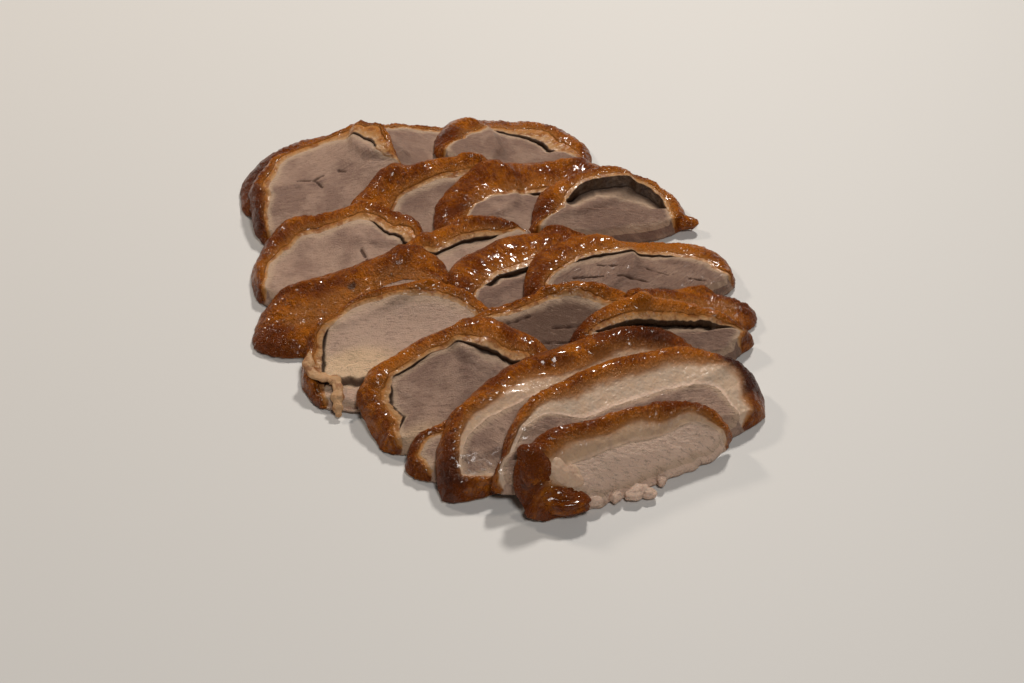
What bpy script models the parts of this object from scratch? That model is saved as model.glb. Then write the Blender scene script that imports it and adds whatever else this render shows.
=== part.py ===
"""Roast duck breast, carved across the grain and laid in overlapping rows.

Every slice is one closed body. The slices are laid in serving order: each one
comes to rest on the floor and on the slices that are already there, bending
a little under its own weight, so that the rows lean on one another.
"""

import math
from collections import namedtuple

import bpy
import numpy as np
from mathutils import Vector
from mathutils.bvhtree import BVHTree

MM = 0.001

# Lying gap between two slices, in mm, so that no two bodies share any space.
GAP = 0.55

# Points round the edge of one slice, and those along its middle line.
AROUND = 32
HALF = AROUND // 2

# Share of the half width that the middle line of a slice takes up.
MIDDLE = 0.55

# Thickness of the thin outer edge of the skin, in mm.
EDGE = 1.6

# Width of the cut lower edge where no skin is left, in mm.
CUT_EDGE = 4.0

# Depth and width of the furrow between the fat and the meat, in mm.
FURROW_DEEP = 1.0
FURROW_WIDE = 2.6

# How far the middle of the meat swells above the rim of the face, in mm.
CROWN = 0.7

# Spacing of the points at which the bending of a slice is worked out, in mm.
STEP = 2.5

# Weight over bending stiffness of a slice, per cubic mm.
SAG = 2.0e-4

SKIN = (0.30, 0.085, 0.018)
MEAT = (0.36, 0.24, 0.19)

Slice = namedtuple(
    "Slice", "name x y turn width behind front lean slant skin thick square browned"
)

# Rows from the far end to the near end, each from left to right.
# name, x, y, turn in degrees, width, depth behind, depth in front,
# lean of the crown, slant of the front, width of the skin, thickness, squareness,
# share of skin colour
SLICES = [Slice(*row) for row in (
    ("slice_a1", -137, 22, 69, 76, 35, 12, 6, 0, 8, 7, 2.4, 0.8),
    ("slice_a2", -116, 60, 46, 64, 29, 16, 2, 0, 7, 7, 2.3, 0.2),
    ("slice_a3", -93, 90, 46, 68, 31, 16, 0, 0, 15, 7, 2.3, 0.2),
    ("slice_b1", -124, 12, 76, 68, 34, 16, 8, 0, 10, 7.5, 2.8, 0.1),
    ("slice_b2", -83, 35, 69, 77, 29, 18, 4, 0, 13, 7, 2.3, 0.4),
    ("slice_b3", -60, 71, 66, 88, 26, 18, 6, 0, 18, 7, 2.3, 0.6),
    ("slice_b4", -31, 87, 57, 68, 31, 9, 5, -8, 16, 8, 2.1, 0.3),
    ("slice_c1", -85, -13, 54, 73, 33, 16, 0, 0, 12, 7.5, 2.8, 0.1),
    ("slice_c2", -46, 15, 76, 74, 26, 20, 6, 0, 10, 7, 2.3, 0.4),
    ("slice_c3", -20, 36, 68, 82, 28, 20, 2, 0, 15, 7, 2.3, 0.6),
    ("slice_c4", 4, 63, 63, 89, 30, 13, 5, 0, 16, 8, 2.4, 0.2),
    ("slice_d1", -63, -28, 62, 80, 22, 15, 4, 0, 15, 7.5, 2.5, 0.9),
    ("slice_d2", -27, -32, 58, 79, 29, 18, 1, 0, 7, 8, 2.7, 0.1),
    ("slice_d3", 9, 13, 64, 81, 23, 20, 6, 0, 8, 7.5, 2.3, 0.2),
    ("slice_d4", 31, 69, 59, 54, 12, 12, 0, 0, 8, 7, 2.3, 0.8),
    ("slice_d5", 40, 47, 63, 70, 18, 11, -11, -11, 12, 8, 2.3, 0.5),
    ("slice_e1", 12, -29, 64, 80, 33, 11, -9, 0, 13, 8, 2.8, 0.2),
    ("slice_e2", 27, -40, 61, 60, 12, 12, 2, 0, 6, 6, 2.3, 0.6),
    ("slice_e3", 49, -10, 75, 120, 34, 9, 5, 10, 10, 8.5, 2.4, 0.5),
    ("slice_e4", 65, 0, 67, 108, 30, 9, 17, -15, 9, 8.5, 2.4, 0.4),
    ("slice_e5", 73, -11, 72, 86, 16, 7, -7, -2, 12, 9, 2.5, 0.2),
)]


def clear_scene():
    for thing in list(bpy.data.objects):
        bpy.data.objects.remove(thing, do_unlink=True)


def signed_power(value, power):
    return np.sign(value) * np.abs(value) ** power


def edge_of(row, angles, seed):
    """Outer edge of a slice in its own flat frame, skin side towards +v."""
    across = signed_power(np.cos(angles), 2 / row.square) * row.width / 2
    along = signed_power(np.sin(angles), 2 / row.square)
    v = np.where(along > 0, along * row.behind, along * row.front)
    shear = np.where(along > 0, along * row.lean, -along * row.slant)
    random = np.random.default_rng(seed)
    uneven = np.zeros(len(angles))
    for turns in (3, 5, 7):
        uneven += np.sin(turns * angles + random.uniform(0, 6.28)) * 0.9 / turns
    u = across + shear + uneven * np.cos(angles)
    return np.stack([u, v + uneven * np.sin(angles)], axis=1)


def middle_of(row, angles):
    """The point of the middle line that each point of the edge runs to."""
    u = signed_power(np.cos(angles), 2 / row.square) * row.width / 2 * MIDDLE
    v = np.full(len(angles), 0.12 * (row.behind - row.front))
    return np.stack([u + (row.lean + row.slant) * 0.3, v], axis=1)


def band_of(row, angles):
    """Width of the sloping rim: skin behind and at the ends, a plain cut in front."""
    skin = np.clip((np.sin(angles) + 0.45) / 0.9, 0, 1)
    skin = skin * skin * (3 - 2 * skin)
    return CUT_EDGE + (row.skin - CUT_EDGE) * skin, skin


def rings_of(row, seed):
    """Flat positions and thickness of each ring of the face, from the edge inwards."""
    angles = np.arange(AROUND) * 2 * math.pi / AROUND
    edge = edge_of(row, angles, seed)
    middle = middle_of(row, angles)
    band, skin = band_of(row, angles)
    inward = middle - edge
    reach = np.linalg.norm(inward, axis=1)
    thick = row.thick
    share = np.minimum(band / reach, 0.62)
    furrow = np.minimum((band + FURROW_WIDE) / reach, 0.78)
    steps = (np.zeros(AROUND), share * 0.42, share, furrow, furrow * 0.4 + 0.6)
    heights = (
        np.full(AROUND, EDGE),
        np.full(AROUND, thick * 0.66) + 0.6 * skin,
        np.full(AROUND, thick),
        thick - FURROW_DEEP * skin,
        np.full(AROUND, thick + CROWN * 0.7),
    )
    flat = [edge + inward * step[:, None] for step in steps]
    under = [edge, edge + inward * 0.3, edge + inward * 0.65]
    return flat, heights, under, middle[: HALF + 1], thick + CROWN


def faces_between(outer, inner, flip):
    """Triangles of the band between two rings of the same length."""
    faces = []
    for i in range(AROUND):
        j = (i + 1) % AROUND
        a, b, c, d = outer + i, outer + j, inner + j, inner + i
        faces += [(a, b, c), (a, c, d)]
    return [face[::-1] for face in faces] if flip else faces


def faces_to_middle(ring, middle, flip):
    """Triangles from the innermost ring to the middle line."""
    faces = []
    for i in range(AROUND):
        j = (i + 1) % AROUND
        a, b = ring + i, ring + j
        c = middle + min(j, AROUND - j)
        d = middle + min(i, AROUND - i)
        faces += [(a, b, c), (a, c, d)]
    return [face[::-1] for face in faces] if flip else faces


def placed(row, flat):
    """Flat points of a slice turned and moved to their place in its row."""
    turn = math.radians(row.turn)
    cosine, sine = math.cos(turn), math.sin(turn)
    x = row.x + flat[:, 0] * cosine - flat[:, 1] * sine
    y = row.y + flat[:, 0] * sine + flat[:, 1] * cosine
    return np.stack([x, y], axis=1)


def top_height(trees, point):
    """Height of the highest slice under this point, or 0 for the floor."""
    best = 0.0
    start = Vector((point[0], point[1], 300.0))
    for tree in trees:
        hit = tree.ray_cast(start, Vector((0, 0, -1)))[0]
        if hit is not None and hit.z > best:
            best = hit.z
    return best


def inside(polygon, points):
    """Which points lie inside the closed polygon."""
    count = np.zeros(len(points), int)
    x, y = points[:, 0], points[:, 1]
    for a, b in zip(polygon, np.roll(polygon, -1, axis=0)):
        crosses = (a[1] > y) != (b[1] > y)
        rise = b[1] - a[1] if b[1] != a[1] else 1e-9
        meets = a[0] + (y - a[1]) * (b[0] - a[0]) / rise
        count += crosses & (x < meets)
    return count % 2 == 1


def bending_matrix(index):
    """Stiffness of a thin sheet over the marked points of a square grid."""
    count = index.max() + 1
    matrix = np.zeros((count, count))
    lengthways = (index[:-2], index[1:-1], index[2:])
    crossways = (index[:, :-2], index[:, 1:-1], index[:, 2:])
    twist = (index[:-1, :-1], index[1:, :-1], index[:-1, 1:], index[1:, 1:])
    add_springs(matrix, lengthways, (1, -2, 1))
    add_springs(matrix, crossways, (1, -2, 1))
    add_springs(matrix, twist, (1.4, -1.4, -1.4, 1.4))
    return matrix


def add_springs(matrix, numbers, weights):
    """Adds one kind of bending spring wherever all of its points are marked."""
    numbers = np.stack([part.ravel() for part in numbers], axis=1)
    numbers = numbers[(numbers >= 0).all(axis=1)]
    for i, first in enumerate(weights):
        for j, second in enumerate(weights):
            np.add.at(matrix, (numbers[:, i], numbers[:, j]), first * second)


def rest_height(row, edge, trees):
    """Height of the underside over a grid, once the slice has come to rest."""
    low = edge.min(axis=0) - 2 * STEP
    high = edge.max(axis=0) + 2 * STEP
    us = np.arange(low[0], high[0] + STEP, STEP)
    vs = np.arange(low[1], high[1] + STEP, STEP)
    grid = np.stack(np.meshgrid(us, vs, indexing="ij"), axis=-1)
    flat = grid.reshape(-1, 2)
    centre = edge.mean(axis=0)
    grown = centre + (edge - centre) * (1 + 4.5 / np.linalg.norm(edge - centre, axis=1))[:, None]
    used = inside(grown, flat)
    touching = inside(edge, flat)
    index = np.full(len(flat), -1)
    index[used] = np.arange(used.sum())
    stiff = bending_matrix(index.reshape(grid.shape[:2]))
    bed = np.zeros(len(flat))
    for k in np.flatnonzero(touching):
        bed[k] = bed_near(row, flat[k], trees)
    z = settle(stiff, bed[used], touching[used])
    height = np.zeros(len(flat))
    height[used] = z
    return us, vs, height.reshape(grid.shape[:2])


def bed_near(row, point, trees):
    """Highest bed within half a grid step of a flat point, with the lying gap."""
    best = 0.0
    for du in (-0.9, 0, 0.9):
        for dv in (-0.9, 0, 0.9):
            place = placed(row, np.array([[point[0] + du, point[1] + dv]]))[0]
            best = max(best, top_height(trees, place))
    return best + GAP if best > 0 else 0.0


def settle(stiff, bed, touching):
    """Rest shape of a sheet that bends under its weight and can't enter its bed."""
    count = len(bed)
    load = np.full(count, -SAG * STEP**4)
    spring = 1e-6 * np.eye(count)
    held = touching.copy()
    z = bed.copy()
    for _ in range(60):
        free = ~held
        system = (stiff + spring)[np.ix_(free, free)]
        pull = load[free] - stiff[np.ix_(free, held)] @ bed[held]
        z = bed.copy()
        z[free] = np.linalg.solve(system, pull)
        push = stiff @ z + spring @ z - load
        again = touching & ((held & (push > -1e-9)) | (~held & (z < bed - 1e-6)))
        if (again == held).all():
            break
        held = again
    return z


def between(us, vs, height, points):
    """Height of the grid at flat points, straight between its own points."""
    i = np.clip(((points[:, 0] - us[0]) / STEP).astype(int), 0, len(us) - 2)
    j = np.clip(((points[:, 1] - vs[0]) / STEP).astype(int), 0, len(vs) - 2)
    p = (points[:, 0] - us[i]) / STEP
    q = (points[:, 1] - vs[j]) / STEP
    near = height[i, j] * (1 - p) + height[i + 1, j] * p
    far = height[i, j + 1] * (1 - p) + height[i + 1, j + 1] * p
    return near * (1 - q) + far * q


def spots_on(faces, points):
    """Sample spots on flat triangles: vertex numbers, shares and flat places."""
    corners, shares = [], []
    for face in faces:
        a, b, c = points[list(face)]
        longest = max(np.linalg.norm(a - b), np.linalg.norm(b - c), np.linalg.norm(c - a))
        parts = max(1, int(math.ceil(longest / 1.1)))
        for i in range(parts + 1):
            for j in range(parts + 1 - i):
                corners.append(face)
                shares.append((i / parts, j / parts, (parts - i - j) / parts))
    corners, shares = np.array(corners), np.array(shares)
    return corners, shares, (points[corners] * shares[:, :, None]).sum(axis=1)


def lift_clear(z, corners, shares, bed):
    """Raises the points of the underside until every spot clears its bed."""
    for _ in range(400):
        short = bed - (z[corners] * shares).sum(axis=1)
        worst = np.flatnonzero(short > 1e-4)
        if len(worst) == 0:
            break
        lift = np.zeros(len(z))
        weight = (shares[worst] ** 2).sum(axis=1)
        for k in range(3):
            amount = short[worst] * shares[worst, k] / weight
            np.maximum.at(lift, corners[worst, k], amount)
        z = z + lift
    return z


def ridge_spots(under, faces, ridges):
    """Spots under the raised edges of the slices already laid."""
    corners, shares = [], []
    for face in faces:
        a, b, c = under[list(face)]
        turn = (b[0] - a[0]) * (c[1] - a[1]) - (b[1] - a[1]) * (c[0] - a[0])
        if abs(turn) < 1e-9:
            continue
        low = np.minimum(np.minimum(a, b), c)
        high = np.maximum(np.maximum(a, b), c)
        near = np.flatnonzero(((ridges[:, :2] >= low) & (ridges[:, :2] <= high)).all(axis=1))
        for k in near:
            x, y = ridges[k, :2]
            s = ((b[0] - x) * (c[1] - y) - (b[1] - y) * (c[0] - x)) / turn
            t = ((c[0] - x) * (a[1] - y) - (c[1] - y) * (a[0] - x)) / turn
            if s >= 0 and t >= 0 and s + t <= 1:
                corners.append(face)
                shares.append((s, t, 1 - s - t))
    return corners, shares


def ridge_points(points, faces):
    """Points every millimetre or so along the edges of an upper surface."""
    pairs = {tuple(sorted(pair)) for a, b, c in faces for pair in ((a, b), (b, c), (c, a))}
    found = []
    for a, b in pairs:
        parts = max(1, int(np.linalg.norm(points[a] - points[b]) / 0.8))
        for k in range(parts + 1):
            found.append(points[a] + (points[b] - points[a]) * k / parts)
    return np.array(found)


def lay_slice(row, seed, trees, ridges):
    """Points and faces of one slice at rest, in mm."""
    flat, heights, under, middle, crown = rings_of(row, seed)
    us, vs, height = rest_height(row, flat[0], trees)
    under_flat = np.concatenate(under + [middle])
    below = placed(row, under_flat)
    z = between(us, vs, height, under_flat)
    z[z < 0.25] = 0
    faces = faces_between(0, AROUND, True) + faces_between(AROUND, 2 * AROUND, True)
    faces += faces_to_middle(2 * AROUND, 3 * AROUND, True)
    faces = [face for face in faces if len(set(face)) == 3]
    corners, shares, spots = spots_on(faces, below)
    more = ridge_spots(below, faces, ridges) if len(ridges) else ([], [])
    if more[0]:
        corners = np.concatenate([corners, np.array(more[0])])
        shares = np.concatenate([shares, np.array(more[1])])
        spots = (below[corners] * shares[:, :, None]).sum(axis=1)
    bed = np.array([top_height(trees, spot) for spot in spots])
    bed = np.where(bed > 0, bed + GAP, 0.0)
    z = lift_clear(z, corners, shares, bed)
    return finish_slice(row, flat, heights, middle, crown, below, z, faces)


def finish_slice(row, flat, heights, middle, crown, below, z, faces):
    """Adds the upper surface, which follows the underside at its own thickness."""
    sheet = BVHTree.FromPolygons([(*p, h) for p, h in zip(below, z)], faces)
    points = [(*p, h) for p, h in zip(below, z)]
    first = len(points)
    rings = list(zip(flat, heights)) + [(middle, np.full(len(middle), crown))]
    for number, (ring, thick) in enumerate(rings):
        place = placed(row, ring)
        for k, (x, y) in enumerate(place):
            if number == 0:
                base = z[k]
            else:
                base = sheet.ray_cast(Vector((x, y, -50.0)), Vector((0, 0, 1)))[0].z
            points.append((x, y, base + thick[k]))
    upper = []
    for k in range(len(flat) - 1):
        upper += faces_between(first + k * AROUND, first + (k + 1) * AROUND, False)
    last = first + (len(flat) - 1) * AROUND
    upper += faces_to_middle(last, last + AROUND, False)
    upper = [face for face in upper if len(set(face)) == 3]
    wall = faces_between(0, first, False)
    return np.array(points), faces + wall, upper


def colour_of(share):
    return tuple(m + (s - m) * share for m, s in zip(MEAT, SKIN))


def add_slice(name, points, faces, share):
    mesh = bpy.data.meshes.new(name)
    mesh.from_pydata([tuple(p * MM) for p in points], [], faces)
    slice_object = bpy.data.objects.new(name, mesh)
    bpy.context.scene.collection.objects.link(slice_object)
    material = bpy.data.materials.new(name)
    material.use_nodes = True
    shader = material.node_tree.nodes["Principled BSDF"]
    shader.inputs["Base Color"].default_value = (*colour_of(share), 1)
    shader.inputs["Roughness"].default_value = 0.45 - 0.12 * share
    shader.inputs["Metallic"].default_value = 0.0
    mesh.materials.append(material)


def lay_all():
    """All the slices, each laid on those before it."""
    trees, laid = [], []
    ridges = np.zeros((0, 3))
    for seed, row in enumerate(SLICES):
        points, lower, upper = lay_slice(row, seed, trees, ridges)
        trees.append(BVHTree.FromPolygons([tuple(p) for p in points], upper + lower))
        ridges = np.concatenate([ridges, ridge_points(points, upper)])
        laid.append((row, points, lower + upper))
    return laid


def centred(laid):
    """Moves the whole so that the origin is under the middle of its box."""
    every = np.concatenate([points for _, points, _ in laid])
    low, high = every.min(axis=0), every.max(axis=0)
    shift = np.array([(low[0] + high[0]) / 2, (low[1] + high[1]) / 2, low[2]])
    return [(row, points - shift, faces) for row, points, faces in laid]


def main():
    clear_scene()
    for row, points, faces in centred(lay_all()):
        add_slice(row.name, points, faces, row.browned)


main()
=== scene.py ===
# %% [markdown]
# # Carved roast duck
# The object is a roast duck breast that was carved across into slices, each with its strip of
# glazed skin, and laid in overlapping rows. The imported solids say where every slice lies. This
# lesson gives each one its real surface: skin, fat, dark hollows and the grain of cooked meat.

# %% Load the solids
import math
from collections import namedtuple

import bpy
import numpy as np
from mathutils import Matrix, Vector
from mathutils.bvhtree import BVHTree


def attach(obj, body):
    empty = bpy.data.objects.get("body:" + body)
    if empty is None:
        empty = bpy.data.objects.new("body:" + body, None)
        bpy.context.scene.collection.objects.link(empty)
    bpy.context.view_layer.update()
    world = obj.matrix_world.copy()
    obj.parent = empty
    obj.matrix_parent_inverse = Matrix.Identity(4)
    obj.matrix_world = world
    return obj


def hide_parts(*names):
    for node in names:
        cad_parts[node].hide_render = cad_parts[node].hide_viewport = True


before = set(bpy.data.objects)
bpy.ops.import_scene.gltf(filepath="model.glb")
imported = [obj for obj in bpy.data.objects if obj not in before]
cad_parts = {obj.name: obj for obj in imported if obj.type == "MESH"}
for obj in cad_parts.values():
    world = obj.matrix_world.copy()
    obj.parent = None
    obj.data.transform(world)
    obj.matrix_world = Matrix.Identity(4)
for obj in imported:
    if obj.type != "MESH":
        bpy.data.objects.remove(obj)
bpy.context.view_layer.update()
MM = 0.001

# %% [markdown]
# ## Camera, floor and light
# The slices are seen from about 42 degrees above, across one end of the mound. A long lens keeps
# the rows nearly parallel. The main lamp stands behind the mound. It is small enough to break up
# into glints on the glaze, and it rakes over the cut faces, so that their grain shows. A second
# one puts glints on the left ends, a third lights the near slices, which lean forwards, and a
# pale surround keeps the shadows open. Colours are shown with no film curve over them.

# %% Camera
AZIMUTH = math.radians(46)
ELEVATION = math.radians(42)
DISTANCE = 0.808
FOCAL_PIXELS = 2100
PHOTO_WIDTH_PIXELS = 1024
SENSOR = 36
LENS = FOCAL_PIXELS / PHOTO_WIDTH_PIXELS * SENSOR
AIM = Vector((0.0416, -0.0278, 0.015))


def from_angles(azimuth, elevation):
    """Direction from the object to a viewer at these angles."""
    return Vector((
        math.sin(azimuth) * math.cos(elevation),
        -math.cos(azimuth) * math.cos(elevation),
        math.sin(elevation),
    ))


def look_at(thing, place, aim):
    thing.location = place
    thing.rotation_euler = (place - aim).to_track_quat("Z", "Y").to_euler()


camera = bpy.data.objects.new("camera", bpy.data.cameras.new("camera"))
camera.data.lens = LENS
camera.data.clip_end = 20
bpy.context.scene.collection.objects.link(camera)
look_at(camera, AIM + from_angles(AZIMUTH, ELEVATION) * DISTANCE, AIM)
bpy.context.scene.camera = camera
print("camera", [round(c, 3) for c in camera.location])

# %% Lamps
LAMP_AIM = Vector((0, 0, 0.02))


def add_lamp(name, azimuth, elevation, distance, size, power, tint):
    lamp = bpy.data.objects.new(name, bpy.data.lights.new(name, "AREA"))
    lamp.data.shape = "DISK"
    lamp.data.size = size
    lamp.data.energy = power
    lamp.data.color = tint
    bpy.context.scene.collection.objects.link(lamp)
    direction = from_angles(math.radians(azimuth), math.radians(elevation))
    look_at(lamp, LAMP_AIM + direction * distance, LAMP_AIM)


add_lamp("key_lamp", 208, 50, 1.0, 0.11, 6.2, (1.0, 0.94, 0.87))
add_lamp("side_lamp", -82, 38, 1.1, 0.12, 3.2, (1.0, 0.88, 0.76))
add_lamp("front_lamp", 62, 54, 1.3, 0.3, 5.8, (1.0, 0.97, 0.94))

world = bpy.data.worlds.new("studio")
world.use_nodes = True
surround = world.node_tree.nodes["Background"]
surround.inputs["Color"].default_value = (1.0, 0.98, 0.96, 1)
surround.inputs["Strength"].default_value = 0.04
bpy.context.scene.world = world
bpy.context.scene.view_settings.view_transform = "Standard"
print("lamps", len(bpy.data.lights))

# %% Floor
# The floor lies just under the lowest point of the mound.
FLOOR_DROP = 0.0005
floor_mesh = bpy.data.meshes.new("floor")
floor_mesh.from_pydata([(-3, -3, 0), (3, -3, 0), (3, 3, 0), (-3, 3, 0)], [], [(0, 1, 2, 3)])
floor = bpy.data.objects.new("floor", floor_mesh)
floor.location.z = -FLOOR_DROP
floor_paint = bpy.data.materials.new("floor")
floor_paint.use_nodes = True
floor_shader = floor_paint.node_tree.nodes["Principled BSDF"]
floor_shader.inputs["Base Color"].default_value = (0.68, 0.67, 0.65, 1)
floor_shader.inputs["Roughness"].default_value = 0.6
floor_mesh.materials.append(floor_paint)
bpy.context.scene.collection.objects.link(floor)
print("floor at", -FLOOR_DROP, "m")

# %% [markdown]
# ## Where each slice lies
# A carver works along the breast and lays the slices down row by row. The table gives each
# slice's place, its turn and its size, just as the solids were made, so the edge drawn here
# falls on the edge of the solid. Lean moves the skin side sideways and slant the cut side. The
# slices are a little thinner than their solids, which leaves room for bumps between them.

# %% Slices
# In mm, EDGE is a slice's thickness at its edge and CROWN the rise of its meat. MIDDLE is the
# length of its middle line as a share of its width, and THINNER how much of the solid's
# thickness it keeps.
EDGE = 1.6
MIDDLE = 0.55
CROWN = 0.3
THINNER = 0.945

Slice = namedtuple("Slice", "name x y turn width behind front lean slant thick square")
SLICES = [Slice(*row) for row in (
    ("slice_a1", -137, 22, 69, 76, 35, 12, 6, 0, 7, 2.4),
    ("slice_a2", -116, 60, 46, 64, 29, 16, 2, 0, 7, 2.3),
    ("slice_a3", -93, 90, 46, 68, 31, 16, 0, 0, 7, 2.3),
    ("slice_b1", -124, 12, 76, 68, 34, 16, 8, 0, 7.5, 2.8),
    ("slice_b2", -83, 35, 69, 77, 29, 18, 4, 0, 7, 2.3),
    ("slice_b3", -60, 71, 66, 88, 26, 18, 6, 0, 7, 2.3),
    ("slice_b4", -31, 87, 57, 68, 31, 9, 5, -8, 8, 2.1),
    ("slice_c1", -85, -13, 54, 73, 33, 16, 0, 0, 7.5, 2.8),
    ("slice_c2", -46, 15, 76, 74, 26, 20, 6, 0, 7, 2.3),
    ("slice_c3", -20, 36, 68, 82, 28, 20, 2, 0, 7, 2.3),
    ("slice_c4", 4, 63, 63, 89, 30, 13, 5, 0, 8, 2.4),
    ("slice_d1", -63, -28, 62, 80, 22, 15, 4, 0, 7.5, 2.5),
    ("slice_d2", -27, -32, 58, 79, 29, 18, 1, 0, 8, 2.7),
    ("slice_d3", 9, 13, 64, 81, 23, 20, 6, 0, 7.5, 2.3),
    ("slice_d4", 31, 69, 59, 54, 12, 12, 0, 0, 7, 2.3),
    ("slice_d5", 40, 47, 63, 70, 18, 11, -11, -11, 8, 2.3),
    ("slice_e1", 12, -29, 64, 80, 33, 11, -9, 0, 8, 2.8),
    ("slice_e2", 27, -40, 61, 60, 12, 12, 2, 0, 6, 2.3),
    ("slice_e3", 49, -10, 75, 120, 34, 9, 5, 10, 8.5, 2.4),
    ("slice_e4", 65, 0, 67, 108, 30, 9, 17, -15, 8.5, 2.4),
    ("slice_e5", 73, -11, 72, 86, 16, 7, -7, -2, 9, 2.5),
)]


def signed_power(value, power):
    return np.sign(value) * np.abs(value) ** power


def unit(values):
    """Values kept between 0 and 1."""
    return np.clip(values, 0, 1)


def eased(values):
    """0 below 0, 1 above 1 and smooth between."""
    share = unit(values)
    return share * share * (3 - 2 * share)


def edge_of(row, angles, seed):
    """Outer edge of a slice in its own flat frame, skin side towards +v."""
    across = signed_power(np.cos(angles), 2 / row.square) * row.width / 2
    along = signed_power(np.sin(angles), 2 / row.square)
    v = np.where(along > 0, along * row.behind, along * row.front)
    shear = np.where(along > 0, along * row.lean, -along * row.slant)
    random = np.random.default_rng(seed)
    uneven = np.zeros(len(angles))
    for turns in (3, 5, 7):
        uneven += np.sin(turns * angles + random.uniform(0, 6.28)) * 0.9 / turns
    u = across + shear + uneven * np.cos(angles)
    return np.stack([u, v + uneven * np.sin(angles)], axis=1)


def middle_of(row, angles):
    """The point of the middle line that each point of the edge runs to."""
    u = signed_power(np.cos(angles), 2 / row.square) * row.width / 2 * MIDDLE
    v = np.full(len(angles), 0.12 * (row.behind - row.front))
    return np.stack([u + (row.lean + row.slant) * 0.3, v], axis=1)


def placed(row, flat):
    """Flat points of a slice turned and moved to their place among the rows."""
    turn = math.radians(row.turn)
    cosine, sine = math.cos(turn), math.sin(turn)
    x = row.x + flat[:, 0] * cosine - flat[:, 1] * sine
    y = row.y + flat[:, 0] * sine + flat[:, 1] * cosine
    return np.stack([x, y], axis=1)


coarse = np.arange(32) * 2 * math.pi / 32
outlines = np.concatenate([placed(row, edge_of(row, coarse, k)) for k, row in enumerate(SLICES)])
CENTRE = (outlines.min(axis=0) + outlines.max(axis=0)) / 2
print("middle of the mound", CENTRE.round(2))

# %% [markdown]
# ## How each slice differs
# No two slices are alike. The rind is the skin with the fat under it: it is broad where the knife
# met the skin at a flat angle, and it stops where the cut begins. In some slices the meat has
# shrunk away from the fat while it roasted, which leaves a dark hollow between them. Places
# round a slice are angles: 0 is its right end, 90 the top of the skin and 180 its left end.

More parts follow.
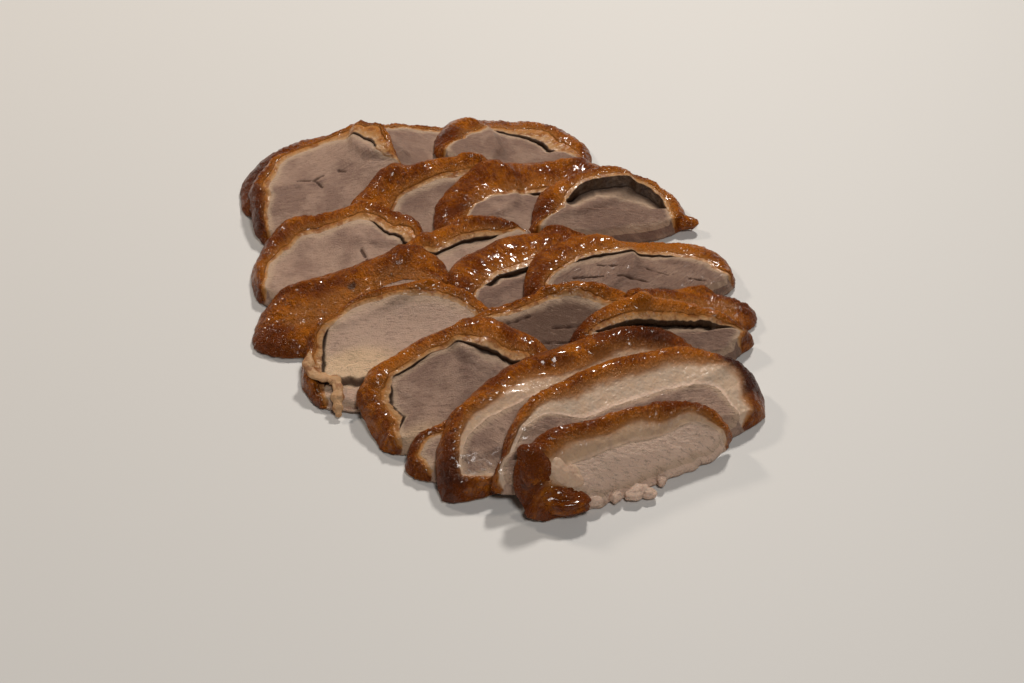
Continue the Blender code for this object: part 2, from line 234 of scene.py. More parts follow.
# %% Facts of each slice
# rind and fat: angle and width in mm. gaps: from, to, width, depth. brown: angle, half span,
# amount. cream: u, v, half sizes, amount. cracks: u, v to u, v, half width. domes: u, v, half
# sizes, height. steps: u, v to u, v and the drop beyond. cover: the last zone that shows. front:
# how far the cut edge slopes, in mm. rough_front: how uneven it is. grain: turn of the fibres in
# degrees. coarse: how coarse they are. tone: paler above 0, darker below; partly the meat's own
# colour, partly painted light on near slices that lean away from the main lamp and painted shade
# on slices under an upper slice's lip. clear: how clear the fat is, from 0 to 1.
PLAIN = dict(fat=((90, 1.4),), gaps=(), brown=(), cream=(), cracks=(), domes=(), steps=(), cover=8.0,
             front=4.0, rough_front=0.0, grain=12.0, coarse=0.5, tone=0.0, clear=0.0)
FACTS = {
    "slice_a1": dict(
        rind=((-30, 0), (-12, 14), (205, 14), (230, 0)), brown=((150, 70, 1.0),), cover=0.9),
    "slice_a2": dict(
        rind=((-20, 0), (0, 6), (90, 8), (118, 9), (135, 8), (190, 6), (215, 0)), tone=-0.4),
    "slice_a3": dict(
        rind=((-14, 0), (5, 12), (30, 18), (60, 20), (80, 16), (97, 18), (118, 20), (150, 18),
              (185, 14), (212, 0)),
        fat=((10, 4), (30, 8), (60, 8), (90, 4), (120, 2), (150, 1.2)),
        gaps=((35, 100, 1.8, 3.0),), brown=((165, 34, 0.8), (120, 16, 0.3)), tone=-0.5),
    "slice_b1": dict(
        rind=((-12, 0), (5, 10), (20, 14), (40, 16), (61, 14), (85, 9), (95, 6), (115, 9),
              (156, 11), (175, 7), (189, 5), (215, 0)),
        fat=((0, 7), (20, 9), (40, 9), (61, 6), (85, 3), (95, 2), (115, 3), (156, 3), (185, 1.2)),
        gaps=((14, 60, 0.8, 1.4),), brown=((180, 34, 1.0), (140, 20, 0.2)),
        cracks=((-9, 10, -3, 7, 0.6), (-3, 7, 2, 8, 0.6), (-3, 7, -1, 3, 0.5), (9, 7, 11, 5, 0.7)),
        tone=-0.15),
    "slice_b2": dict(
        rind=((0, 0), (20, 9), (45, 10), (57, 11), (68, 12), (94, 12), (104, 14), (123, 16),
              (150, 17), (185, 14), (212, 0)),
        fat=((45, 3), (70, 2.4), (95, 1.4), (150, 1)),
        brown=((165, 34, 0.9), (120, 14, 0.2)), tone=-0.5),
    "slice_b3": dict(
        rind=((-10, 0), (10, 12), (30, 16), (60, 21), (90, 21), (120, 22), (150, 22), (180, 20),
              (200, 14), (220, 0)),
        fat=((40, 3), (90, 1.8), (150, 1)),
        gaps=((20, 90, 4.5, 3.0),), brown=((178, 26, 0.9), (60, 14, 0.4), (110, 16, 0.3)), tone=-0.4),
    "slice_b4": dict(
        rind=((-28, 0), (-10, 9), (10, 9), (40, 9), (60, 10), (80, 10.5), (100, 11), (120, 12),
              (150, 15), (180, 14), (200, 12), (218, 0)),
        fat=((0, 2.0), (60, 1.5), (150, 1.5)),
        gaps=((15, 135, 14, 5.4),), brown=((175, 36, 0.8), (110, 20, 0.3), (0, 26, 0.2)), tone=-0.6),
    "slice_c1": dict(
        rind=((-5, 0), (10, 10), (22, 14), (49, 15), (67, 14), (80, 13), (92, 12), (102, 13),
              (118, 14), (140, 13), (164, 9), (178, 6), (199, 4), (218, 0)),
        fat=((22, 6), (67, 3.5), (100, 2.4), (140, 2), (175, 1)),
        gaps=((12, 66, 1.2, 2.4),), brown=((192, 24, 0.7), (150, 20, 0.2)),
        cracks=((8, 6, 12, -4, 0.6),), tone=0.0),
    "slice_c2": dict(
        rind=((20, 0), (45, 12), (57, 11), (71, 10), (85, 11), (94, 12), (105, 11), (113, 9),
              (140, 10), (180, 9), (210, 0)),
        fat=((60, 1.8), (110, 1.5)), gaps=((52, 112, 1.6, 3.0),), brown=((40, 30, 0.5),), tone=0.1),
    "slice_c3": dict(
        rind=((-10, 0), (20, 12), (80, 18), (104, 19), (137, 18), (172, 15), (200, 10), (215, 0)),
        fat=((80, 3), (104, 2), (137, 1.2), (172, 1)),
        gaps=((78, 150, 3.0, 3.4),), brown=((176, 36, 1.0), (130, 16, 0.4), (20, 30, 0.3)), tone=-0.5),
    "slice_c4": dict(
        rind=((-25, 0), (0, 9), (20, 14), (43, 16), (70, 15), (105, 15), (130, 16), (155, 13),
              (180, 11), (212, 0)),
        fat=((20, 2), (70, 2.4), (110, 1.8), (150, 1.2)),
        gaps=((60, 130, 1.2, 1.8),), brown=((168, 30, 0.5), (70, 60, -0.8)),
        cracks=((-24, 2, -12, 1, 0.45), (-12, 8, -4, 6.5, 0.4), (-6, 0, 6, -3, 0.45),
                (8, 5, 16, 1, 0.4), (10, -6, 22, -9, 0.45), (24, -2, 30, -5, 0.4)),
        grain=-28.0, coarse=1.2, tone=-0.5),
    "slice_d1": dict(
        rind=((-20, 0), (0, 14), (60, 21), (225, 21), (250, 10), (275, 0)),
        fat=((90, 0.5),), brown=((195, 40, 0.6), (60, 30, 0.3)), cracks=((2, 8, 3, 8, 1.5),), cover=0.9),
    "slice_d2": dict(
        rind=((-20, 0), (0, 7), (29, 9), (66, 9), (80, 8), (104, 6), (116, 5), (143, 7), (180, 8),
              (205, 6), (225, 0)),
        fat=((0, 1.5), (66, 2), (104, 1.8), (130, 2), (170, 3), (205, 2)),
        gaps=((140, 196, 1.6, 3.0),), cream=((-20, 0, 17, 8, 1.0),), steps=((-34, -1, -15, -6.5, 3.0),),
        coarse=0.7, tone=0.6),
    "slice_d3": dict(
        rind=((-15, 0), (10, 9), (53, 11), (66, 9), (80, 8), (97, 7), (119, 8), (130, 6), (136, 5),
              (170, 4), (200, 0)),
        fat=((53, 2.5), (97, 1.6), (130, 1.4)), brown=((150, 30, 0.2),),
        cracks=((-15, 10, -5, 12, 0.4), (2, 6, 14, 4, 0.45), (-4, 1, 8, -1, 0.4)),
        grain=30.0, coarse=0.9, tone=-1.3),
    "slice_d4": dict(
        rind=((-60, 0), (-35, 12), (190, 14), (215, 0)), fat=((0, 1), (90, 1)),
        brown=((0, 40, 0.4),), cover=0.95),
    "slice_d5": dict(
        rind=((-25, 0), (-5, 6), (15, 8), (40, 10), (90, 11), (115, 11), (140, 9), (175, 7), (205, 0)),
        fat=((0, 1.5), (60, 2.2), (115, 2.2), (150, 1.4)),
        gaps=((10, 140, 7.0, 4.6),), brown=((165, 30, 0.3), (75, 70, -0.8)), coarse=0.8, tone=-0.6),
    "slice_e1": dict(
        rind=((-20, 0), (0, 10), (39, 16), (52, 17), (70, 18), (82, 16), (91, 12), (99, 11),
              (122, 12), (137, 13), (156, 14), (178, 10), (200, 9), (224, 0)),
        fat=((39, 3), (75, 3.5), (95, 1.6), (122, 1.8), (150, 3), (200, 3)),
        gaps=((38, 84, 2.0, 3.2), (96, 124, 0.8, 1.2), (138, 200, 1.8, 3.2)),
        brown=((185, 30, 0.3), (120, 50, -0.6)), cream=((-25, -8, 14, 8, 0.5),), coarse=0.9, tone=-0.2),
    "slice_e2": dict(
        rind=((0, 0), (30, 5), (90, 6), (150, 6), (200, 6), (230, 0)),
        brown=((160, 60, 0.8),), coarse=1.0, tone=-0.2),
    "slice_e3": dict(
        rind=((-20, 0), (0, 14), (30, 18), (60, 20), (110, 20), (130, 17), (150, 13), (170, 9),
              (205, 9), (228, 0)),
        fat=((30, 7), (110, 8), (140, 6), (160, 2), (180, 0.8)),
        brown=((52, 40, 1.1), (180, 40, 1.3)), front=6.0, grain=60.0, coarse=1.2, clear=0.7),
    "slice_e4": dict(
        rind=((-22, 0), (0, 16), (30, 22), (60, 24), (90, 24), (120, 20), (150, 10), (175, 6),
              (205, 5), (224, 0)),
        fat=((0, 7), (30, 12), (60, 14), (90, 13), (120, 10), (150, 4), (175, 1.5)),
        brown=((30, 34, 3.0), (186, 30, 0.9)), front=7.0, grain=10.0, coarse=1.0, clear=1.0),
    "slice_e5": dict(
        rind=((-25, 0), (-5, 10), (30, 14), (60, 17), (85, 18), (110, 20), (140, 20), (165, 18),
              (195, 16), (225, 12), (245, 0)),
        fat=((0, 3), (30, 6), (85, 7), (110, 8), (140, 8), (195, 6), (225, 3)),
        domes=((-33, 4, 9, 9, 1.6),), front=8.0, rough_front=0.6,
        brown=((60, 44, 0.4), (175, 40, 1.1), (220, 24, 0.6)), grain=20.0, coarse=0.9, tone=1.4,
        clear=0.6),
}


def facts_of(name):
    return {**PLAIN, **FACTS[name]}


print("slices with a hollow", sum("gaps" in facts for facts in FACTS.values()))

# %% Values that run round a slice


def round_edge(angles, points):
    """Values round a slice, straight between the given angles and then softened."""
    degrees = np.degrees(angles)
    values = np.interp(degrees, [p[0] for p in points], [p[1] for p in points], period=360)
    reach = max(1, len(angles) // 45)
    for _ in range(3):
        values = np.mean([np.roll(values, k) for k in range(-reach, reach + 1)], axis=0)
    return values


def turned_from(angles, centre):
    """How far angles are from one of them, in degrees, the short way round."""
    return np.abs((np.degrees(angles) - centre + 180) % 360 - 180)


def between(angles, start, stop, soft=9.0):
    """1 between two angles in degrees and 0 outside, with soft ends."""
    away = turned_from(angles, (start + stop) / 2)
    return eased(((stop - start) / 2 + soft - away) / (2 * soft))


def hump(angles, centre, half):
    """A smooth hump round the slice, 1 at its centre and 0 at its ends."""
    away = turned_from(angles, centre) / half
    return np.where(away < 1, np.cos(away * math.pi / 2) ** 2, 0)


def waves(angles, seed, low, high, size):
    """Uneven ripple round a closed edge, made of waves that fit round it."""
    random = np.random.default_rng(seed)
    ripple = np.zeros(len(angles))
    for turns in range(low, high):
        share = random.normal() * size / math.sqrt(high - low)
        ripple += share * np.sin(turns * angles + random.uniform(0, 6.28))
    return ripple


# %% [markdown]
# ## The bed under a slice
# A slice bends over what it lies on. The solid's underside already has that form, in flat
# facets. It is read on a fine grid, smoothed as meat would be, lowered in the share in which the
# slices are thinner, let down a little and lifted again wherever it would come nearer than a
# small gap to a slice that is already down.

# %% Bed
# Lengths are in mm, apart from RAY_START in metres: the cells of both grids, the least gap, how
# far a slice settles, and half the span of the grid of laid tops.
CELL = 1.0
RASTER = 0.8
GAP = 0.65
SETTLE = 0.6
HALF_SPAN = 170.0
BLUR_PASSES = 6
LIFT_PASSES = 6
LIFT_SHARE = 1.2
RAY_START = -0.05
laid_tops = np.full((int(2 * HALF_SPAN / RASTER),) * 2, -1.0)


def smoothed(grid, passes):
    """Grid after this many passes of a small soft blur."""
    for _ in range(passes):
        wide = np.pad(grid, 1, mode="edge")
        grid = (wide[:-2, 1:-1] + 2 * wide[1:-1, 1:-1] + wide[2:, 1:-1]) / 4
        wide = np.pad(grid, 1, mode="edge")
        grid = (wide[1:-1, :-2] + 2 * wide[1:-1, 1:-1] + wide[1:-1, 2:]) / 4
    return grid


def filled(grid, known):
    """Spreads the known cells outwards until every cell has a height."""
    grid = np.where(known, grid, 0.0)
    known = known.astype(float)
    while (known == 0).any():
        sums, counts = np.zeros_like(grid), np.zeros_like(grid)
        wide, marks = np.pad(grid * known, 1), np.pad(known, 1)
        for i in range(3):
            for j in range(3):
                sums += wide[i:i + grid.shape[0], j:j + grid.shape[1]]
                counts += marks[i:i + grid.shape[0], j:j + grid.shape[1]]
        fresh = (known == 0) & (counts > 0)
        grid[fresh] = sums[fresh] / counts[fresh]
        known[fresh] = 1.0
    return grid


def cells_at(places):
    """Cells of the grid of laid tops that places in mm lie in."""
    return np.clip(((places + HALF_SPAN) / RASTER).astype(int), 1, laid_tops.shape[0] - 2)


def laid_height(places):
    """Height of the slices already laid."""
    cells = cells_at(places)
    return laid_tops[cells[..., 0], cells[..., 1]]


def bed_grid(row, edge, solid):
    """Grid of heights under a slice, in its own flat frame."""
    low = edge.min(axis=0) - 3
    us = np.arange(low[0], edge[:, 0].max() + 3, CELL)
    vs = np.arange(low[1], edge[:, 1].max() + 3, CELL)
    flat = np.stack(np.meshgrid(us, vs, indexing="ij"), axis=-1).reshape(-1, 2)
    places = placed(row, flat) - CENTRE
    heights, known = np.zeros(len(flat)), np.zeros(len(flat), bool)
    for k, (x, y) in enumerate(places):
        hit = solid.ray_cast(Vector((x * MM, y * MM, RAY_START)), Vector((0, 0, 1)))[0]
        if hit is not None:
            heights[k], known[k] = hit.z / MM, True
    shape = (len(us), len(vs))
    bed = filled(heights.reshape(shape), known.reshape(shape))
    bed = smoothed(bed, BLUR_PASSES) * THINNER - SETTLE
    needed = laid_height(places).reshape(shape) + GAP
    for _ in range(LIFT_PASSES):
        short = np.maximum(needed - bed, 0)
        bed = bed + smoothed(short, 1) * LIFT_SHARE
    return us, vs, np.maximum(np.maximum(bed, needed), 0)


def on_grid(us, vs, grid, flat):
    """Height of a grid at flat points, straight between its cells."""
    p = np.clip((flat[..., 0] - us[0]) / CELL, 0, len(us) - 1.001)
    q = np.clip((flat[..., 1] - vs[0]) / CELL, 0, len(vs) - 1.001)
    i, j = p.astype(int), q.astype(int)
    p, q = p - i, q - j
    near = grid[i, j] * (1 - p) + grid[i + 1, j] * p
    far = grid[i, j + 1] * (1 - p) + grid[i + 1, j + 1] * p
    return near * (1 - q) + far * q


def solid_of(name):
    """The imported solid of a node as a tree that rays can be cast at."""
    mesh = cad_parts[name].data
    points = [vertex.co[:] for vertex in mesh.vertices]
    return BVHTree.FromPolygons(points, [tuple(face.vertices) for face in mesh.polygons])


print("cells in the grid of laid tops", laid_tops.size)

# %% [markdown]
# ## The surface of a slice
# From the edge inwards a slice has zones: skin that rounds over, the cut edge of its fat, a
# hollow where there is one, the shoulder of the meat and the meat itself. Rings of points follow
# their borders, so each border is sharp. Over a hollow the fat hangs inwards as a lip. The zone
# number is kept on every point, and the finishes read it.

# %% Rings
# Zones: 0 to 1 is skin, 1 to 2 the cut fat, 2 to 3 the hollow, 3 to 4 the meat's shoulder and 4
# to 8 the meat. UNDER holds the places of the rings below, as shares of the way to the middle
# line, and the REACH values are shares of it too. SHOULDER, LIP, LIP_UNDERCUT and LEAST_GAP are mm.
RINGS = np.concatenate([
    np.linspace(0, 1, 27),
    np.linspace(1, 2, 10)[1:],
    np.linspace(2, 3, 9)[1:],
    np.linspace(3, 4, 7)[1:],
    np.linspace(4, 8, 27)[1:],
])
UNDER = np.concatenate([[0.02, 0.06], np.linspace(0.12, 1, 13)])
SHOULDER = 2.5
LIP = 1.1
LIP_UNDERCUT = 0.9
RIND_REACH = 0.86
ZONES_REACH = 0.94
LEAST_GAP = 0.25
print("rings", len(RINGS), "above and", len(UNDER), "below")

# %% Zones from the edge inwards


def zone_ends(facts, angles, reach, seed):
    """Distances from the edge, in mm, at which each zone ends, and the hollow's depth."""
    limit = np.minimum(1, RIND_REACH * reach / np.maximum(round_edge(angles, facts["rind"]), 0.1))
    rind = round_edge(angles, facts["rind"]) * limit * (1 + waves(angles, seed + 100, 3, 9, 0.03))
    fat = round_edge(angles, facts["fat"]) * limit * (1 + waves(angles, seed + 200, 4, 12, 0.10))
    rind = np.maximum(rind + waves(angles, seed + 150, 14, 40, 0.06), 0.8)
    fat = np.clip(fat, 0.25, rind * 0.75)
    room = np.maximum(ZONES_REACH * reach - rind, 1.0)
    gap, deep = np.full(len(angles), LEAST_GAP), np.zeros(len(angles))
    for start, stop, width, depth in facts["gaps"]:
        here = between(angles, start, stop)
        gap += width * here * (1 + waves(angles, seed + 400, 3, 14, 0.18))
        deep += depth * here
    gap, shoulder = np.minimum(gap, room * 0.7), np.minimum(SHOULDER, room * 0.3)
    ends = np.cumsum([np.zeros(len(angles)), rind - fat, fat, gap, shoulder], axis=0)
    ends = ends * np.minimum(1, ZONES_REACH * reach / ends[-1])
    return np.concatenate([ends, reach[None]]), deep, unit((rind - 1) / 2)


def slice_rings(row, facts, angles, seed):
    """Flat points, thickness and zone of every ring of the upper surface."""
    push = waves(angles, seed + 300, 4, 14, 0.35) + waves(angles, seed + 350, 14, 50, 0.14)
    rough = facts["rough_front"] * waves(angles, seed + 370, 12, 40, 1.0)
    push = push + rough * between(angles, 250, 345)
    edge = edge_of(row, angles, seed) + np.stack([push * np.cos(angles), push * np.sin(angles)], axis=1)
    inward = middle_of(row, angles) - edge
    reach = np.linalg.norm(inward, axis=1)
    ends, deep, skin = zone_ends(facts, angles, reach, seed)
    whole = np.minimum(RINGS.astype(int), 4)
    part = (RINGS - whole) / np.where(whole == 4, 4, 1)
    away = ends[whole] + (ends[whole + 1] - ends[whole]) * part[:, None]
    even = reach * (np.linspace(0, 1, len(RINGS)) ** 1.15)[:, None]
    away = even + (away - even) * skin
    zone = zone_at(away, ends)
    thick = heights_of(row, facts, angles, deep, skin, away, ends, zone, seed)
    lip = LIP * unit(deep / 3) * np.exp(-((zone - 1.95) / 0.22) ** 2)
    lip -= LIP_UNDERCUT * unit(deep / 3) * np.exp(-((zone - 2.35) / 0.2) ** 2)
    flat = edge + inward * (np.clip(away + lip, 0, reach) / reach)[..., None]
    return flat, thick, np.minimum(zone, facts["cover"]), (skin, deep), edge, inward


def zone_at(away, ends):
    """Zone number at distances from the edge: whole numbers fall on the borders."""
    zone = np.zeros_like(away)
    for k in range(5):
        span = np.maximum(ends[k + 1] - ends[k], 1e-6)
        zone += unit((away - ends[k]) / span) * (4 if k == 4 else 1)
    return zone


# %% Thickness of a slice
# The skin rounds over within SKIN_SLOPE, from least to most, in mm. A higher SKIN_ROUND is fuller.
SKIN_SLOPE = (3.2, 11.0)
SKIN_ROUND = 2.1


def heights_of(row, facts, angles, deep, skin, away, ends, zone, seed):
    """Thickness over each ring: rounded skin, level fat, hollow and crowned meat."""
    slope = facts["front"] + (np.clip(0.75 * ends[1], *SKIN_SLOPE) - facts["front"]) * skin
    rise = 1 - (1 - unit(away / slope)) ** SKIN_ROUND
    edge = EDGE + (1 - skin) * 0.6
    full = row.thick * THINNER
    pucker = waves(angles, seed + 500, 7, 20, 0.28) * np.sin(unit(zone) * math.pi) * skin
    lip = full + 0.2 * skin * unit(deep)
    thick = edge + (lip - edge) * rise + pucker
    sunk = unit((zone - 2) / 0.15) * (1 - unit(zone - 2)) ** 1.2 * 1.2
    step = unit(zone - 2)
    thick += (full - 0.15 * deep - lip) * step * unit(deep) - deep * sunk
    crown = 1 - (1 - unit((zone - 3) / 5)) ** 2
    return thick + CROWN * crown


# %% [markdown]
# ## Loose bits that stay on a slice
# Carving tears small things loose. A ribbon of fat hangs off one slice, a tip of skin stands off
# another, the skin of the front slice rolls up into a knob at its end, and crumbs of meat lie
# along its cut edge. They are true to size, closed, and belong to the slice that they hang on.

# %% Loose bits
# ribbons: path of u, v and height over the bed, then width and thickness, in mm.
# lumps: u, v, height over the bed, three half sizes, turn in degrees, zone, browning.
RIBBONS = {
    "slice_d2": ((
        ((-35, 9, 8.6), (-37, 3, 8.4), (-35, -2, 8.0), (-31, -3.5, 7.6), (-27.5, -5, 7.2),
         (-27, -9, 6.8), (-28, -13, 5.4), (-28.5, -17, 3.4), (-28.5, -19.5, 1.4)), 4.4, 2.0),),
}
LUMPS = {
    "slice_b4": ((31.5, -1.5, 3.6, 6.0, 3.2, 2.6, -16, 0.4, 0.3),),
    "slice_e5": (
        (-35, 5, 6.0, 7.5, 5.5, 5.2, -55, 0.5, 0.5),
        (-29, -4, 5.4, 10.0, 4.4, 4.8, -30, 0.5, 0.3),
        (-27.5, 1.5, 7.6, 4.6, 3.4, 3.4, -40, 1.95, 0.0),
        (-23.5, -0.5, 7.4, 4.0, 3.0, 2.8, -10, 1.95, 0.0),
        (-18, -5.5, 3.4, 4.0, 2.8, 2.6, -25, 5.0, 0.0),
        (-9, -7, 2.6, 3.0, 2.2, 2.0, 40, 5.0, 0.0),
        (-1, -8, 2.4, 4.8, 3.2, 2.4, 18, 5.0, 0.0),
        (2.5, -10, 1.7, 3.6, 2.4, 1.8, -30, 5.0, 0.0),
        (10, -7, 2.2, 2.6, 2.0, 1.9, 60, 5.0, 0.0),
    ),
}
FAT_ZONE = 1.9
RIBBON_RINGS = 60
print("slices with loose bits", len(RIBBONS) + len(LUMPS))

# %% Closed forms of the loose bits


def ring_faces(outer, inner):
    """Four-sided faces between two rings of point numbers."""
    return np.stack([outer, np.roll(outer, -1), np.roll(inner, -1), inner], axis=1)


def closed_rings(rings, start, end):
    """Points and faces of rings of equal length, closed by a point at each end."""
    count = rings.shape[1]
    faces = []
    for k in range(len(rings) - 1):
        outer = k * count + np.arange(count)
        faces += ring_faces(outer, outer + count).tolist()
    first, last = rings.size // 3, rings.size // 3 + 1
    base = (len(rings) - 1) * count
    for i in range(count):
        j = (i + 1) % count
        faces += [(first, j, i), (last, base + i, base + j)]
    points = np.concatenate([rings.reshape(-1, 3), [start], [end]])
    volume = 0.0
    for face in faces:
        for second, third in zip(face[1:], face[2:]):
            volume += np.linalg.det(points[[face[0], second, third]])
    return points, faces if volume > 0 else [face[::-1] for face in faces]


def ribbon(path, width, thick, seed):
    """A soft strip along a path, thin at both ends."""
    path = np.array(path, float)
    share = np.linspace(0, len(path) - 1, RIBBON_RINGS)
    line = np.stack([np.interp(share, np.arange(len(path)), path[:, k]) for k in range(3)], axis=1)
    for _ in range(6):
        line[1:-1] = (line[:-2] + line[1:-1] * 2 + line[2:]) / 4
    ahead = np.gradient(line, axis=0)[:, :2]
    side = np.stack([-ahead[:, 1], ahead[:, 0]], axis=1)
    side /= np.linalg.norm(side, axis=1)[:, None]
    ends = np.sqrt(np.clip(1 - np.abs(np.linspace(-1, 1, RIBBON_RINGS)) ** 6, 0.02, 1))
    ends = ends * (1 + waves(np.linspace(0, 6, RIBBON_RINGS), seed, 2, 9, 0.2))
    turn = np.arange(14) * 2 * math.pi / 14
    out = side[:, None] * (np.cos(turn)[:, None] * (ends * width / 2)[:, None, None])
    up = np.sin(turn) * (ends * thick / 2)[:, None]
    rings = np.concatenate([line[:, None, :2] + out, line[:, None, 2:] + up[..., None]], axis=2)
    return closed_rings(rings, line[0], line[-1])


def lump(u, v, high, sizes, turn, seed):
    """An uneven knob with its own three half sizes."""
    tilt = np.linspace(0, math.pi, 24)[1:-1]
    round_it = np.arange(32) * 2 * math.pi / 32
    uneven = 1 + waves(round_it, seed, 2, 6, 0.09)[None] * np.sin(tilt)[:, None]
    uneven = uneven + waves(tilt * 2, seed + 1, 2, 5, 0.05)[:, None]
    x = np.sin(tilt)[:, None] * np.cos(round_it) * uneven * sizes[0]
    y = np.sin(tilt)[:, None] * np.sin(round_it) * uneven * sizes[1]
    z = np.cos(tilt)[:, None] * uneven * sizes[2]
    cosine, sine = math.cos(math.radians(turn)), math.sin(math.radians(turn))
    rings = np.stack([u + x * cosine - y * sine, v + x * sine + y * cosine, high + z], axis=2)
    return closed_rings(rings, (u, v, high + sizes[2]), (u, v, high - sizes[2]))


def loose_bits(row, us, vs, bed):
    """Points, faces, zone and browning of everything loose on a slice."""
    found = []
    for number, (path, width, thick) in enumerate(RIBBONS.get(row.name, ())):
        points, faces = ribbon(path, width, thick, number)
        found.append((points, faces, FAT_ZONE, 0.0))
    for number, (u, v, high, a, b, c, turn, zone, brown) in enumerate(LUMPS.get(row.name, ())):
        points, faces = lump(u, v, high, (a, b, c), turn, number * 7)
        found.append((points, faces, zone, brown))
    for points, _, _, _ in found:
        points[:, 2] += on_grid(us, vs, bed, points[:, :2])
        points[:, 2] = np.maximum(points[:, 2], 0.05)
    return found


# %% Tears, swells and torn steps


def crack_depth(facts, flat):
    """How deep the small tears are at flat points."""
    depth = np.zeros(flat.shape[:-1])
    for u0, v0, u1, v1, wide in facts["cracks"]:
        start, run = np.array([u0, v0]), np.array([u1 - u0, v1 - v0])
        share = unit(((flat - start) @ run) / (run @ run))
        away = np.linalg.norm(flat - start - share[..., None] * run, axis=-1)
        away = away + 0.15 * np.sin(flat[..., 0] * 1.3)
        depth = np.maximum(depth, np.exp(-(away / wide) ** 2))
    # Below a torn step the mark also paints shade, where the step's shadow falls.
    for *line, _ in facts["steps"]:
        depth = np.maximum(depth, beyond(flat, line)[1] * 0.8)
    return depth


def swell(facts, flat, seed):
    """Slow swells of the whole face and the domes that a slice has."""
    random = np.random.default_rng(seed + 600)
    lift = np.zeros(flat.shape[:-1])
    for length in (34.0, 23.0, 15.0):
        turn, start = random.uniform(0, 6.28, 2)
        along = flat[..., 0] * math.cos(turn) + flat[..., 1] * math.sin(turn)
        lift += np.sin(along * 2 * math.pi / length + start) * length * 0.006
    for u, v, wide, high, height in facts["domes"]:
        away = ((flat[..., 0] - u) / wide) ** 2 + ((flat[..., 1] - v) / high) ** 2
        lift += height * np.exp(-away * 1.5)
    for *line, drop in facts["steps"]:
        lift -= drop * beyond(flat, line)[0]
    return lift


def beyond(flat, line):
    """How far flat points lie past a torn line: 0 before it, 1 after it, and near it."""
    start, stop = np.array(line[:2]), np.array(line[2:])
    run = (stop - start) / np.linalg.norm(stop - start)
    along = (flat - start) @ run
    past = (flat - start) @ np.array([run[1], -run[0]]) + 0.5 * np.sin(along * 1.1)
    length = np.linalg.norm(stop - start)
    within = unit((along + 2) / 3) * unit((length + 3 - along) / 4)
    return eased(past) * within, np.exp(-((past - 0.7) / 0.9) ** 2) * within


print("tears", sum(len(facts.get("cracks", ())) for facts in FACTS.values()))

# %% Mesh of a slice
LONG_SLICE = 100
POINTS_ROUND = 320
POINTS_ROUND_LONG = 384
TEAR_DEPTH = 0.9
UNDERSIDE_ZONE = 3.4


def folded(first, count):
    """Numbers of a closed ring whose two halves meet on the middle line."""
    k = np.arange(count)
    return first + np.minimum(k, count - k)


def shell_faces(starts, count):
    """Faces of a slice, from the number of the first point of each ring."""
    rings = [start + np.arange(count) for start in starts[:-1]]
    last, wall = len(RINGS) - 1, len(RINGS)
    rings[last] = folded(starts[last], count)
    rings[-1] = folded(starts[-2], count)
    faces = [ring_faces(rings[k], rings[k + 1]) for k in range(last)]
    faces += [ring_faces(rings[wall], rings[0])]
    faces += [ring_faces(rings[k + 1], rings[k]) for k in range(wall, len(rings) - 1)]
    return np.concatenate(faces).tolist()


def with_bits(bits, flats, highs, faces, values, band):
    """Points, faces and values of a slice, with those of its loose bits after them."""
    for points, more, zone, brown in bits:
        faces += [[k + len(flats) for k in face] for face in more]
        flats = np.concatenate([flats, points[:, :2]])
        highs = np.concatenate([highs, points[:, 2]])
        band = np.concatenate([band, points])
        given = dict(zone=zone, skin=float(zone < 3), brown=brown)
        for name in values:
            added = np.full(len(points), given.get(name, 0.0))
            values[name] = np.concatenate([values[name], added])
    return flats, highs, faces, values, band


# %% The whole slice


def make_slice(seed, row):
    """One slice as a closed mesh, lying on its bed, with its zones kept on its points."""
    facts = facts_of(row.name)
    count = POINTS_ROUND_LONG if row.width > LONG_SLICE else POINTS_ROUND
    angles = np.arange(count) * 2 * math.pi / count
    flat, thick, zone, (skin, deep), edge, inward = slice_rings(row, facts, angles, seed)
    us, vs, bed = bed_grid(row, edge, solid_of(row.name))
    cracks = crack_depth(facts, flat)
    inner = unit(zone / 0.6)
    top = on_grid(us, vs, bed, flat) + thick - TEAR_DEPTH * cracks
    top += swell(facts, flat, seed) * inner
    under = edge + inward * UNDER[:, None, None]
    low = on_grid(us, vs, bed, under)
    half = count // 2 + 1
    wall_flat = edge - inward / np.linalg.norm(inward, axis=1)[:, None] * 0.3
    wall = on_grid(us, vs, bed, wall_flat) + EDGE * 0.5 + (1 - skin) * 0.5
    # The rings run inwards over the top, then round the wall, then inwards under the slice. The
    # innermost ring of each side is folded onto the middle line, so it has half the points.
    flats = [*flat[:-1], flat[-1][:half], wall_flat, *under[:-1], under[-1][:half]]
    highs = [*top[:-1], top[-1][:half], wall, *low[:-1], low[-1][:half]]
    zones = [*zone[:-1], zone[-1][:half], np.zeros(count)]
    zones += [np.full(len(h), UNDERSIDE_ZONE) for h in highs[len(RINGS) + 1:]]
    starts = np.cumsum([0] + [len(h) for h in highs])
    remember_top(row, flat, top)
    flats, highs = np.concatenate(flats), np.concatenate(highs)
    around = np.concatenate([angles[:len(h)] for h in np.split(highs, starts[1:-1])])
    # The tears are kept for the finish, which paints them dark: partly torn meat and one dark speck on
    # the skin, partly painted shade in the cracks and below the torn steps.
    torn_and_shade = np.zeros(len(highs))
    torn_and_shade[:cracks[:-1].size] = cracks[:-1].ravel()
    values, band = marks_of(facts, flats, around, np.concatenate(zones), (angles, skin, edge))
    values["torn_and_shade"], values["deep"] = torn_and_shade, np.interp(around, angles, deep)
    values["under"] = (np.arange(len(highs)) >= starts[len(RINGS) + 1]).astype(float)
    shell = (flats, highs, shell_faces(starts, count), values, band)
    whole = with_bits(loose_bits(row, us, vs, bed), *shell)
    print(row.name, "highest", round(float(whole[1].max()), 2), "mm")
    return build_mesh(row, *whole)


